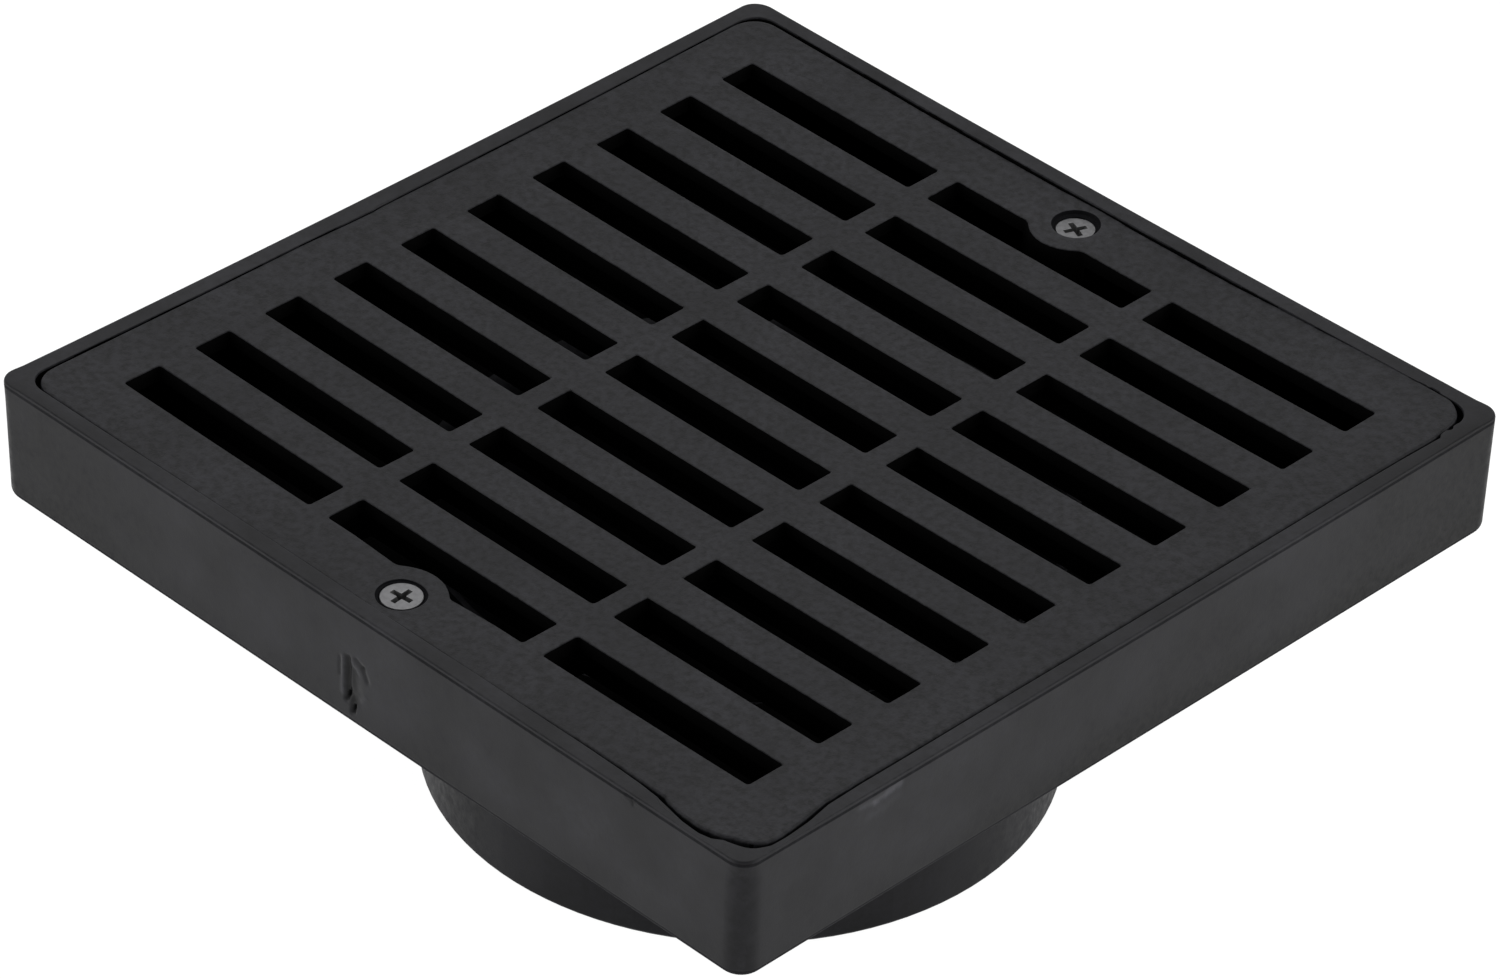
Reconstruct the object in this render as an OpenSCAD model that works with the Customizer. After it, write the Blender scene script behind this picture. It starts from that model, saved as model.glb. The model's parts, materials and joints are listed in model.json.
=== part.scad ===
// Square plastic drain grate, held by two screws in a shallow square housing with a round outlet.
// The origin is the middle of the outlet's lower end. +Z points up.
// The slots run along X, and the rows of slots follow one another along Y.

/* [Overall] */
// Outer side of the square housing
housing_side = 235; // [190:1:300]
// Height from the outlet's lower end to the housing's rim
total_h = 96.5; // [75:0.1:140]
// Height of the housing's square walls
tray_h = 31.1; // [25:0.1:45]

/* [Housing] */
// Thickness of the square walls
wall_t = 4.5; // [3.5:0.1:5.5]
// Thickness of the tray's floor
floor_t = 3.5; // [2.5:0.1:5]
// Radius of the housing's upright corners
housing_corner_r = 5.5; // [4:0.1:9]
// Rounding of the bottom outer edge
bottom_edge_r = 2.6; // [1:0.1:3.8]
// Rounding of the rim's outer edge
rim_edge_r = 0.7; // [0.3:0.1:1.5]
// Fillet between the walls and the floor, inside
floor_fillet_r = 2; // [0.5:0.1:3]
// How much sharper the recess's corners are than a corner that follows the grate's
corner_relief = 2; // [0:0.1:2]

/* [Outlet] */
// Outer diameter of the round outlet
spigot_d = 147.4; // [100:0.1:180]
// Wall thickness of the outlet
spigot_t = 3.6; // [2.5:0.1:6]
// Lead-in chamfer on the outlet's lower end
spigot_lead = 1.2; // [0.4:0.1:2]
// Fillet where the outlet leaves the tray
root_r = 4; // [1:0.1:8]

/* [Grate] */
// Clearance between the grate's edge and the housing's wall
grate_gap = 0.7; // [0.3:0.05:1.5]
// How far the grate's face lies below the rim
grate_drop = 0.2; // [0:0.05:1]
// Radius of the grate's corners
grate_corner_r = 7; // [5:0.1:12]
// Rounding of the grate's upper edge
grate_edge_r = 0.8; // [0.3:0.1:1.5]
// Overall depth of the grate, with its ribs
grate_depth = 14; // [11:0.1:18]
// Thickness of the slotted face
skin_t = 4.6; // [3:0.1:6]
// Thickness of the skirt around the grate
skirt_t = 3.2; // [2:0.1:4.5]

/* [Slots] */
// Number of slots side by side along X
slot_columns = 3; // [2:1:5]
// Width of a slot
slot_w = 10.3; // [6:0.1:12.5]
// Distance from one row of slots to the next
slot_pitch = 20.5; // [16:0.1:26]
// Width of the webs between the columns
web_w = 6; // [4.5:0.1:12]
// Solid margin between the slots' ends and the grate's edge
end_margin = 14.4; // [10:0.1:24]
// Least margin between the outer rows and the grate's edge
row_margin = 14; // [12:0.1:24]
// Corner radius of a slot
slot_r = 0.8; // [0.3:0.1:3]

/* [Ribs] */
// Width of a bar's rib where it leaves the face
rib_root_w = 6; // [4:0.1:7]
// Width of a bar's rib at its lower edge
rib_tip_w = 4.4; // [2:0.1:5]
// How far the bars' ribs end above the skirt's lower edge
rib_rise = 0.5; // [0:0.1:4]
// Width of a web's rib where it leaves the face
web_rib_root_w = 4.4; // [3:0.1:6]
// Width of a web's rib at its lower edge
web_rib_tip_w = 3.2; // [2:0.1:5]

/* [Seat] */
// Thickness of the ribs that carry the grate
seat_rib_t = 2.6; // [1.5:0.1:4]
// Reach of a seat rib at its top
seat_reach = 6; // [5:0.1:9]
// Reach of a seat rib at the floor
seat_foot = 8; // [6:0.1:12]
// Distance between seat ribs
seat_pitch = 24; // [15:0.5:40]

/* [Screws] */
// Distance from the grate's edge to a screw's axis
screw_inset = 8.2; // [7:0.1:12]
// Diameter of a screw's flat head
head_d = 9.6; // [8:0.1:11]
// Angle of the head's cone
head_angle = 82; // [80:1:90]
// Height of the head's upright edge
head_edge = 0.35; // [0.2:0.05:0.6]
// Diameter of a screw's core
core_d = 3.5; // [3:0.1:4]
// Length of a screw's pointed end
tip_l = 3; // [2:0.1:4]
// Diameter of the pocket around a head
pocket_d = 11.2; // [11:0.1:14]
// Depth of the pocket around a head
pocket_depth = 1.2; // [0.5:0.1:2]
// Diameter of the hole that a screw passes through
screw_hole_d = 5.4; // [5:0.1:6]
// Gap between a head and its seat
head_clearance = 0.05; // [0.05:0.01:0.2]
// Radius of the boss that carries a screw in the grate
boss_r = 10.75; // [8.5:0.05:12]
// Fillet where a boss meets the edge of a slot
boss_fillet_r = 3; // [1:0.1:5]
// Diameter of the post that a screw bites into
post_d = 12; // [9:0.1:14]
// Thickness of the web from a post to the wall
post_web_t = 3; // [2:0.1:5]
// Diameter of the hole in a post
pilot_d = 3.8; // [3.3:0.05:4.3]
// Solid left under the hole in a post
pilot_floor = 1; // [0.5:0.1:2]
// Space between a screw's point and the end of its hole
tip_gap = 0.9; // [0.5:0.1:2]
// Angle at which the front screw stopped
front_turn = 5; // [-45:1:45]
// Angle at which the back screw stopped
back_turn = -18; // [-45:1:45]

/* [Cross recess] */
// Length of the cross recess across the head
recess_l = 5.8; // [4:0.1:6.5]
// Width of a slot of the cross recess
recess_w = 1.2; // [0.8:0.05:1.5]
// Depth of the cross recess
recess_depth = 1.7; // [1:0.1:2]

/* [Hidden] */
$fn = 96;
// Overlap that fuses neighbouring shapes or clears a cut
eps = 0.5;

plastic = [0.17, 0.17, 0.18];
grate_plastic = [0.2, 0.2, 0.21];
steel = [0.58, 0.58, 0.6];

// Levels from the ground up
tray_z = total_h - tray_h;
floor_z = tray_z + floor_t;
grate_top_z = total_h - grate_drop;
seat_z = grate_top_z - grate_depth;
pocket_z = grate_top_z - pocket_depth;
pilot_z = floor_z + pilot_floor;

// Housing
inner_side = housing_side - 2 * wall_t;
inner_corner_r = grate_corner_r + grate_gap - corner_relief;
spigot_r = spigot_d / 2;
bore_r = spigot_r - spigot_t;
// The mouth bends about the same centre as the root's fillet, so the wall keeps its thickness
mouth_r = root_r + spigot_t;

// Grate
grate_side = inner_side - 2 * grate_gap;
slot_span = grate_side - 2 * end_margin;
slot_l = (slot_span - (slot_columns - 1) * web_w) / slot_columns;
column_pitch = slot_l + web_w;
bar_w = slot_pitch - slot_w;
slot_rows = floor((grate_side - 2 * row_margin + bar_w) / slot_pitch);
outer_slot_edge = (slot_rows - 1) / 2 * slot_pitch + slot_w / 2;
rib_l = grate_side - 2 * skirt_t + 2 * eps;

// Screws
screw_y = grate_side / 2 - screw_inset;
head_top_z = pocket_z + head_clearance;
screw_tip_z = pilot_z + tip_gap;
screw_l = head_top_z - screw_tip_z;
head_r = head_d / 2;
core_r = core_d / 2;

// Where a boss's fillet circle lies, from the screw's axis
fillet_dy = screw_y - outer_slot_edge + boss_fillet_r;
fillet_dx = sqrt(max(0, pow(boss_r + boss_fillet_r, 2) - fillet_dy * fillet_dy));
boss_in_slot = screw_y - boss_r < outer_slot_edge;

// Half section of a slab's edge, from its core out to its rounded side
module edge_section(reach, h, low_r, top_r) {
    difference() {
        square([reach, h]);
        if (low_r > 0) translate([reach - low_r, 0]) difference() {
            translate([0, -eps]) square([low_r + eps, low_r + eps]);
            translate([0, low_r]) circle(r = low_r);
        }
        if (top_r > 0) translate([reach - top_r, h - top_r]) difference() {
            square([top_r + eps, top_r + eps]);
            circle(r = top_r);
        }
    }
}

// Square slab with upright corners of radius corner_r and rounded lower and upper edges
module slab(side, corner_r, h, low_r = 0, top_r = 0) {
    core = side - 2 * corner_r;
    translate([-core / 2, -core / 2, 0]) cube([core, core, h]);
    for (k = [0:3]) rotate(90 * k) translate([core / 2, core / 2, 0]) {
        rotate_extrude(angle = 90) edge_section(corner_r, h, low_r, top_r);
        rotate([90, 0, 0]) linear_extrude(core) edge_section(corner_r, h, low_r, top_r);
    }
}

// Both ends of the housing where a screw sits
module at_screws() {
    for (k = [0:1]) rotate(180 * k) translate([0, -screw_y, 0]) children();
}

// Outlet, with a chamfered end and a filleted root
module spigot() {
    rotate_extrude() polygon([
        [bore_r - eps, 0],
        [spigot_r - spigot_lead, 0],
        [spigot_r, spigot_lead],
        [spigot_r, floor_z],
        [bore_r - eps, floor_z]
    ]);
    rotate_extrude() difference() {
        translate([spigot_r - eps, tray_z - root_r]) square([root_r + eps, root_r + eps]);
        translate([spigot_r + root_r, tray_z - root_r]) circle(r = root_r);
    }
}

// Water way through the floor and the outlet, with a rounded mouth
module water_way() {
    translate([0, 0, -eps]) cylinder(r = bore_r, h = floor_z + 2 * eps);
    rotate_extrude() difference() {
        translate([bore_r - eps, floor_z - mouth_r]) square([mouth_r + eps, mouth_r + eps]);
        translate([bore_r + mouth_r, floor_z - mouth_r]) circle(r = mouth_r);
    }
}

// One upright rib on a wall, which the grate's skirt rests on
module seat_rib() {
    translate([0, seat_rib_t / 2, 0]) rotate([90, 0, 0]) linear_extrude(seat_rib_t) polygon([
        [inner_side / 2 + eps, floor_z - eps],
        [inner_side / 2 + eps, seat_z],
        [inner_side / 2 - seat_reach, seat_z],
        [inner_side / 2 - seat_foot, floor_z - eps]
    ]);
}

// Rows of seat ribs along the four walls, with room for the screw posts
module seat_ribs() {
    free = inner_side / 2 - inner_corner_r - seat_foot;
    last = floor(free / seat_pitch);
    for (k = [0:3], i = [-last:last])
        if (k % 2 == 0 || i != 0) rotate(90 * k) translate([0, i * seat_pitch, 0]) seat_rib();
}

// Post that a screw bites into, tied to the wall by a web
module screw_post() {
    translate([0, 0, floor_z - eps]) cylinder(d = post_d, h = seat_z - floor_z + eps);
    web_l = inner_side / 2 - screw_y + eps;
    translate([-post_web_t / 2, -web_l, floor_z - eps]) cube([post_web_t, web_l, seat_z - floor_z + eps]);
}

module housing() {
    color(plastic) difference() {
        union() {
            difference() {
                translate([0, 0, tray_z]) slab(housing_side, housing_corner_r, tray_h, bottom_edge_r, rim_edge_r);
                translate([0, 0, floor_z]) slab(inner_side, inner_corner_r, tray_h, floor_fillet_r);
            }
            spigot();
            seat_ribs();
            at_screws() screw_post();
        }
        water_way();
        at_screws() translate([0, 0, pilot_z]) cylinder(d = pilot_d, h = tray_h);
    }
}

// Slot with small rounded corners
module slot() {
    translate([-slot_l / 2 + slot_r, -slot_w / 2]) square([slot_l - 2 * slot_r, slot_w]);
    translate([-slot_l / 2, -slot_w / 2 + slot_r]) square([slot_l, slot_w - 2 * slot_r]);
    for (x = [-1, 1], y = [-1, 1])
        translate([x * (slot_l / 2 - slot_r), y * (slot_w / 2 - slot_r)]) circle(r = slot_r);
}

module slots() {
    for (c = [0:slot_columns - 1], r = [0:slot_rows - 1])
        translate([(c - (slot_columns - 1) / 2) * column_pitch, (r - (slot_rows - 1) / 2) * slot_pitch, 0])
            translate([0, 0, -eps]) linear_extrude(grate_depth + 2 * eps) slot();
}

// Ribs that taper downwards, under every bar and every web
module tapered_rib(root_w, tip_w, low) {
    rotate([90, 0, 90]) linear_extrude(rib_l, center = true) polygon([
        [-tip_w / 2, low],
        [tip_w / 2, low],
        [root_w / 2, grate_depth - skin_t + eps],
        [-root_w / 2, grate_depth - skin_t + eps]
    ]);
}

module grate_ribs() {
    for (b = [1:slot_rows - 1])
        translate([0, (b - slot_rows / 2) * slot_pitch, 0]) tapered_rib(rib_root_w, rib_tip_w, rib_rise);
    for (c = [1:slot_columns - 1])
        translate([(c - slot_columns / 2) * column_pitch, 0, 0]) rotate(90)
            tapered_rib(web_rib_root_w, web_rib_tip_w, 0);
}

// Wedge between a boss and the slot's edge, with a hollow fillet
module boss_wedge() {
    difference() {
        polygon([[0, 0], [fillet_dx, fillet_dy - boss_fillet_r], [fillet_dx, fillet_dy]]);
        translate([fillet_dx, fillet_dy]) circle(r = boss_fillet_r);
    }
}

// Boss around a screw, which bulges into the slot beside it
module grate_boss() {
    cylinder(r = boss_r, h = grate_depth);
    if (boss_in_slot) {
        linear_extrude(grate_depth) boss_wedge();
        mirror([1, 0, 0]) linear_extrude(grate_depth) boss_wedge();
    }
}

// Hole, cone and pocket that take a screw, turned from one profile
module screw_seat() {
    hole_r = screw_hole_d / 2;
    pocket_floor = grate_depth - pocket_depth;
    edge_floor = pocket_floor - head_edge;
    rotate_extrude() polygon([
        [0, -eps],
        [hole_r, -eps],
        [hole_r, edge_floor - (head_r - hole_r) / tan(head_angle / 2)],
        [head_r, edge_floor],
        [head_r + head_clearance, edge_floor],
        [head_r + head_clearance, pocket_floor],
        [pocket_d / 2, pocket_floor],
        [pocket_d / 2, grate_depth + eps],
        [0, grate_depth + eps]
    ]);
}

module grate_body() {
    difference() {
        slab(grate_side, grate_corner_r, grate_depth, 0, grate_edge_r);
        translate([0, 0, -eps])
            slab(grate_side - 2 * skirt_t, grate_corner_r - skirt_t, grate_depth - skin_t + eps);
    }
    grate_ribs();
}

module grate() {
    color(grate_plastic) translate([0, 0, seat_z]) difference() {
        union() {
            difference() {
                grate_body();
                slots();
            }
            intersection() {
                at_screws() grate_boss();
                slab(grate_side, grate_corner_r, grate_depth, 0, grate_edge_r);
            }
        }
        at_screws() screw_seat();
    }
}

// Flat-headed screw, hanging from the top of its head at z = 0
module screw() {
    shank_cone = (head_r - head_clearance - core_r) / tan(head_angle / 2);
    difference() {
        rotate_extrude() polygon([
            [0, 0],
            [head_r - head_clearance, 0],
            [head_r - head_clearance, -head_edge],
            [core_r, -head_edge - shank_cone],
            [core_r, -screw_l + tip_l],
            [0, -screw_l]
        ]);
        for (a = [0, 90]) rotate(a)
            translate([-recess_l / 2, -recess_w / 2, -recess_depth]) cube([recess_l, recess_w, recess_depth + eps]);
    }
}

module front_screw() {
    color(steel) translate([0, -screw_y, head_top_z]) rotate(front_turn) screw();
}

module back_screw() {
    color(steel) translate([0, screw_y, head_top_z]) rotate(back_turn) screw();
}

housing();
grate();
front_screw();
back_screw();
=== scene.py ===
# %% [markdown]
# # A square drain grate in its housing
#
# The object is a plastic floor drain. A slotted grate lies in a square housing, two steel screws
# hold it down, and a round outlet under the housing leads the water away. Its construction comes
# in as a fixed frame of four parts, all at their real size. This lesson gives those parts their
# looks: softened edges, the slight sag of a large moulding, the torn scar where the plastic was
# fed into the mould, real screws, and the finishes.

# %% Load the frame
import json
import math

import bmesh
import bpy
from mathutils import Matrix, Vector


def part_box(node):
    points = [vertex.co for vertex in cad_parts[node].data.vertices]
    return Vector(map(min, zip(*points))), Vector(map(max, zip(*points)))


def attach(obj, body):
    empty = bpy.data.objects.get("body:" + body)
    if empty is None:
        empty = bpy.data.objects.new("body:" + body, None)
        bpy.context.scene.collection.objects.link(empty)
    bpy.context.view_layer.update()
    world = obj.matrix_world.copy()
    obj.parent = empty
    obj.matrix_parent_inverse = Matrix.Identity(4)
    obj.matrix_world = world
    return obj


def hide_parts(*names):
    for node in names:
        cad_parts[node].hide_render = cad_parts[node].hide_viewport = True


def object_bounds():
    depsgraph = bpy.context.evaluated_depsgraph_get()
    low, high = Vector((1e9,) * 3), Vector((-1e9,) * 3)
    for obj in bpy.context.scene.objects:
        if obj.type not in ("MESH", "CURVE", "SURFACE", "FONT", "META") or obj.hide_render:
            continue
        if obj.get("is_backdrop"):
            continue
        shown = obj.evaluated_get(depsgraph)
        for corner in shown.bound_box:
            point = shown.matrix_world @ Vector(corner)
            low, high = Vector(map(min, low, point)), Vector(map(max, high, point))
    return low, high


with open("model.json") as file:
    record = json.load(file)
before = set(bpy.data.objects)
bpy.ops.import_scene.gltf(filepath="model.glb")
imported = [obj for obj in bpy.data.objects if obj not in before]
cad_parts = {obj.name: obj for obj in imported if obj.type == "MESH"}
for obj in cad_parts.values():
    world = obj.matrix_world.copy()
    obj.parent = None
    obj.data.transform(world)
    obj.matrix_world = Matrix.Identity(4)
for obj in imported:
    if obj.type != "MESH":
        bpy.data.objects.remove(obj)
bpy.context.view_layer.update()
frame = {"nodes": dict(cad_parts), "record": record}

nodes = frame["nodes"]
housing_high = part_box("housing")[1]
grate_low, grate_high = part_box("grate")
half = housing_high.x
rim_z = housing_high.z
mounts = {mount["name"]: mount for mount in frame["record"]["mounts"]}
tray_z = mounts["tray_underside"]["pos_m"][2]
bore_r = mounts["outlet_bore"]["dims"]["r_mm"] / 1000
mm = 0.001
print("parts:", sorted(nodes))

# %% [markdown]
# ## The camera
#
# The photograph looks down on one corner of the housing, from about 36 degrees above the floor.
# A camera can be placed by eye, but here its angles were worked out from the four corners of the
# rim, so the render can be laid over the photograph. The camera looks at the middle of the top
# face, and is then slid a little down and to the left to give the photograph's framing.

# %% Place the camera
azimuth = math.radians(44.503)
elevation = math.radians(35.735)
roll = math.radians(1.655)
photo_w = 1500
focal_px = 7063.5
sensor_w = 36
distance = 1.5571
slide_down = 0.02078
slide_left = 0.0001

top_middle = Vector((0, 0, rim_z))
back = Vector((
    math.sin(azimuth) * math.cos(elevation),
    -math.cos(azimuth) * math.cos(elevation),
    math.sin(elevation),
))
level_right = Vector((0, 0, 1)).cross(back).normalized()
level_up = back.cross(level_right)
right = math.cos(roll) * level_right + math.sin(roll) * level_up
up = math.cos(roll) * level_up - math.sin(roll) * level_right

bpy.ops.object.select_all(action="DESELECT")
eye = top_middle + distance * back - slide_down * up - slide_left * right
bpy.ops.object.camera_add(location=eye)
camera = bpy.context.object
camera.name = "photo_camera"
camera.rotation_mode = "QUATERNION"
camera.rotation_quaternion = Matrix((right, up, back)).transposed().to_quaternion()
camera.data.sensor_width = sensor_w
camera.data.lens = focal_px / photo_w * sensor_w
bpy.context.scene.camera = camera
print("lens in mm:", round(camera.data.lens, 2))

# %% [markdown]
# ## Floor and light
#
# The object stands on a plain white table, lit softly from the left, from the right and from
# above. Nothing shines from the camera's side, so the corner that points at the camera and the
# insides of the slots stay dark, and that is what gives the plastic its shape. The white of the
# table comes from its material: camera and mirror rays see it glow faintly, which costs no light
# on the object, and the rest of it is an ordinary matt surface that still takes the shadow.


# %% Helpers for materials
def new_material(name):
    """A node material with an empty Principled shader, and that shader."""
    material = bpy.data.materials.new(name)
    material.use_nodes = True
    return material, material.node_tree.nodes["Principled BSDF"]


def add_node(tree, kind, inputs=None, **settings):
    """Adds a node, sets its inputs by name or number, and its own settings."""
    node = tree.nodes.new(kind)
    for key, value in settings.items():
        setattr(node, key, value)
    for key, value in (inputs or {}).items():
        node.inputs[key].default_value = value
    return node


def calculate(tree, operation, first, second):
    """A Math node. Each operand is a socket or a number."""
    node = tree.nodes.new("ShaderNodeMath")
    node.operation = operation
    for slot, operand in enumerate((first, second)):
        if isinstance(operand, (int, float)):
            node.inputs[slot].default_value = operand
        else:
            tree.links.new(operand, node.inputs[slot])
    return node.outputs[0]


# %% Which rays see a plain white background
def seen_ray(tree):
    """A socket that is 1 for rays that show the background: camera, mirror and glass rays."""
    path = tree.nodes.new("ShaderNodeLightPath")
    glossy = calculate(tree, "MAXIMUM", path.outputs["Is Camera Ray"], path.outputs["Is Glossy Ray"])
    return calculate(tree, "MAXIMUM", glossy, path.outputs["Is Transmission Ray"])


# %% [markdown]
# The outlet stands on the table, and on site it would stand in a dark pipe. So the round patch of
# table inside it is painted dark, as painted shade, and doesn't glow, or the slots above it would show white.

# %% The floor
floor_side = 12
# painted shade: inside this radius the table is dark and doesn't glow
shade_patch_r = bore_r + 2 * mm
table_colour = (0.9, 0.9, 0.9, 1)
painted_shade_colour = (0.004, 0.004, 0.004, 1)
floor_glow_share = 0.86
floor_glow = 1.14

bpy.ops.mesh.primitive_plane_add(size=floor_side, location=(0, 0, 0))
floor = bpy.context.object
floor.name = "floor"
floor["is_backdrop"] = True

table_white, table_shader = new_material("table_white")
table_shader.inputs["Roughness"].default_value = 1
table_shader.inputs["Specular IOR Level"].default_value = 0
tree = table_white.node_tree
place = tree.nodes.new("ShaderNodeTexCoord").outputs["Object"]
from_middle = add_node(tree, "ShaderNodeVectorMath", operation="LENGTH")
tree.links.new(place, from_middle.inputs[0])
outside_shade_patch = calculate(tree, "GREATER_THAN", from_middle.outputs["Value"], shade_patch_r)
paint_mix = add_node(tree, "ShaderNodeMix", {6: painted_shade_colour, 7: table_colour}, data_type="RGBA")
tree.links.new(outside_shade_patch, paint_mix.inputs[0])
tree.links.new(paint_mix.outputs[2], table_shader.inputs["Base Color"])
share = calculate(tree, "MULTIPLY", seen_ray(tree), floor_glow_share)
share = calculate(tree, "MULTIPLY", share, outside_shade_patch)
glow = add_node(tree, "ShaderNodeEmission", {"Strength": floor_glow})
mix = tree.nodes.new("ShaderNodeMixShader")
tree.links.new(share, mix.inputs[0])
tree.links.new(table_shader.outputs[0], mix.inputs[1])
tree.links.new(glow.outputs[0], mix.inputs[2])
tree.links.new(mix.outputs[0], tree.nodes["Material Output"].inputs["Surface"])
floor.data.materials.append(table_white)
print("table:", floor_side, "m wide, dark up to", round(shade_patch_r / mm, 1), "mm from the middle")

# %% [markdown]
# The background is white near the horizon, where the camera may look, and greyer overhead. The
# plastic's face mirrors that part, and a grey sky keeps its sheen low, as in the photograph.

# %% The world around the table
fill_strength = 0.16
white_below = 0.2
grey_above = 0.62
overhead = 0.4

world = bpy.data.worlds.new("studio")
bpy.context.scene.world = world
world.use_nodes = True
tree = world.node_tree
fill = tree.nodes["Background"]
fill.inputs["Color"].default_value = (1, 1, 1, 1)
fill.inputs["Strength"].default_value = fill_strength
direction = tree.nodes.new("ShaderNodeSeparateXYZ")
tree.links.new(tree.nodes.new("ShaderNodeTexCoord").outputs["Generated"], direction.inputs[0])
fade = add_node(tree, "ShaderNodeMapRange", {1: white_below, 2: grey_above, 3: 1, 4: overhead})
tree.links.new(direction.outputs["Z"], fade.inputs[0])
backdrop = tree.nodes.new("ShaderNodeBackground")
tree.links.new(fade.outputs[0], backdrop.inputs["Strength"])
mix = tree.nodes.new("ShaderNodeMixShader")
tree.links.new(seen_ray(tree), mix.inputs[0])
tree.links.new(fill.outputs[0], mix.inputs[1])
tree.links.new(backdrop.outputs[0], mix.inputs[2])
tree.links.new(mix.outputs[0], tree.nodes["World Output"].inputs["Surface"])
print("world:", world.name, "with fill light", fill_strength)


# %% Soft boxes to the left, to the right and above
def soft_box(name, place, width, height, brightness):
    """A square of light at place that faces the object. Brightness is that of its surface."""
    bpy.ops.object.light_add(type="AREA", location=place)
    lamp = bpy.context.object
    lamp.name = name
    lamp.rotation_mode = "QUATERNION"
    lamp.rotation_quaternion = (Vector(place) - top_middle).to_track_quat("Z", "Y")
    lamp.data.shape = "RECTANGLE"
    lamp.data.size = width
    lamp.data.size_y = height
    lamp.data.energy = brightness * math.pi * width * height
    lamp.visible_camera = False


side_distance = 1.3
towards_camera = 0.35
side_box = {"width": 1.6, "height": 0.7, "brightness": 2.6}
top_box = {"width": 1.6, "height": 1.6, "brightness": 1.6}
top_place = (-0.35, 0.35, 1.5)
sideways = Vector((math.cos(azimuth), math.sin(azimuth), 0))
forward = Vector((math.sin(azimuth), -math.cos(azimuth), 0))
for name, sign, level in (("left_box", -1, 0.42), ("right_box", 1, 0.5)):
    place = sign * side_distance * sideways + towards_camera * forward
    place.z = level
    soft_box(name, place, **side_box)
soft_box("top_box", top_place, **top_box)

scene = bpy.context.scene
scene.view_settings.view_transform = "Standard"

# %% [markdown]
# ## Plastic
#
# The housing and the grate are moulded from black polyethylene with a fine spark-eroded texture.
# Up close the texture breaks the surface into grains about a millimetre across, which catch more
# or less of the light. A flat colour would look like rubber, so three layers of noise are used:
# large clouds, grains that change the colour and the gloss, and a finer grain that is only bump.
# A number stored at each vertex, named wear, makes torn and scuffed places paler, and darkens pits, grooves
# and the lower walls as painted shade.


# %% Noise and its range
usual_noise = (0.35, 0.65)
wider_noise = (0.3, 0.7)


def noise(tree, place, scale, detail, roughness):
    """A noise texture. Scale is how many of its grains lie side by side on one metre."""
    texture = add_node(tree, "ShaderNodeTexNoise", {"Scale": scale, "Detail": detail})
    texture.inputs["Roughness"].default_value = roughness
    tree.links.new(place, texture.inputs["Vector"])
    return texture.outputs[0]


def spread(tree, value, limits, to_low, to_high):
    """Maps the range between the two limits of value onto to_low to to_high."""
    node = add_node(tree, "ShaderNodeMapRange", {1: limits[0], 2: limits[1], 3: to_low, 4: to_high})
    tree.links.new(value, node.inputs[0])
    return node.outputs[0]


# %% Moulded plastic
pore_share = 0.35
gloss_spread = 0.1


def moulded_plastic(name, colour, grain, clouds, roughness, gloss, relief, worn_and_shaded=False):
    """Dark moulded plastic. Grain and clouds are how much each layer changes the colour, and
    relief is the height of the grains in metres."""
    material, shader = new_material(name)
    shader.inputs["Specular IOR Level"].default_value = gloss
    tree = material.node_tree
    place = tree.nodes.new("ShaderNodeTexCoord").outputs["Object"]
    cloud_noise = noise(tree, place, scale=45, detail=3, roughness=0.6)
    grain_noise = noise(tree, place, scale=560, detail=3, roughness=0.6)
    pore_noise = noise(tree, place, scale=2300, detail=2, roughness=0.5)

    cloud_tone = spread(tree, cloud_noise, usual_noise, 1 - clouds, 1 + clouds)
    grain_tone = spread(tree, grain_noise, usual_noise, 1 - grain, 1 + grain)
    tone = calculate(tree, "MULTIPLY", cloud_tone, grain_tone)
    # the wear number lightens torn and scuffed plastic and darkens places as painted shade
    if worn_and_shaded:
        wear_and_shade = add_node(tree, "ShaderNodeAttribute", attribute_name="wear_and_shade").outputs["Fac"]
        tone = calculate(tree, "MULTIPLY", tone, calculate(tree, "ADD", wear_and_shade, 1))
    tinted = add_node(tree, "ShaderNodeVectorMath", {0: colour}, operation="SCALE")
    tree.links.new(tone, tinted.inputs["Scale"])
    tree.links.new(tinted.outputs[0], shader.inputs["Base Color"])

    polish = spread(tree, grain_noise, wider_noise, roughness - gloss_spread, roughness + gloss_spread)
    tree.links.new(polish, shader.inputs["Roughness"])

    heights = add_node(tree, "ShaderNodeMix", {0: pore_share}, data_type="FLOAT")
    tree.links.new(grain_noise, heights.inputs[2])
    tree.links.new(pore_noise, heights.inputs[3])
    bump = add_node(tree, "ShaderNodeBump", {"Strength": 1, "Distance": relief})
    tree.links.new(heights.outputs[0], bump.inputs["Height"])
    tree.links.new(bump.outputs[0], shader.inputs["Normal"])
    return material


# %% The plastics
# each plastic: name, colour, grain, clouds, roughness, gloss and relief
plastic = (0.018, 0.018, 0.0205)
grate_black = moulded_plastic("grate_black", plastic, 0.55, 0.15, 0.5, 0.16, 0.00016)
housing_black = moulded_plastic("housing_black", plastic, 0.25, 0.3, 0.45, 0.16, 0.00004, worn_and_shaded=True)
# painted shade: the outside of the outlet, under the tray, is darker and less glossy than the rest
outlet_shade_black = moulded_plastic("outlet_shade_black", (0.011, 0.011, 0.0125), 0.3, 0.3, 0.5, 0.11, 0.00005)
# matt and barely reflecting, it darkens the band under the rim and the foot's rounding as painted shade
matt_shade_black = moulded_plastic("matt_shade_black", (0.018, 0.018, 0.02), 0.3, 0.2, 0.75, 0.05, 0.00003)
# painted shade: near black for the slot walls, the tray's inside and the grate's underside
painted_shade_black = moulded_plastic("painted_shade_black", (0.003, 0.003, 0.003), 0.1, 0.1, 0.7, 0.01, 0.00002)
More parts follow.
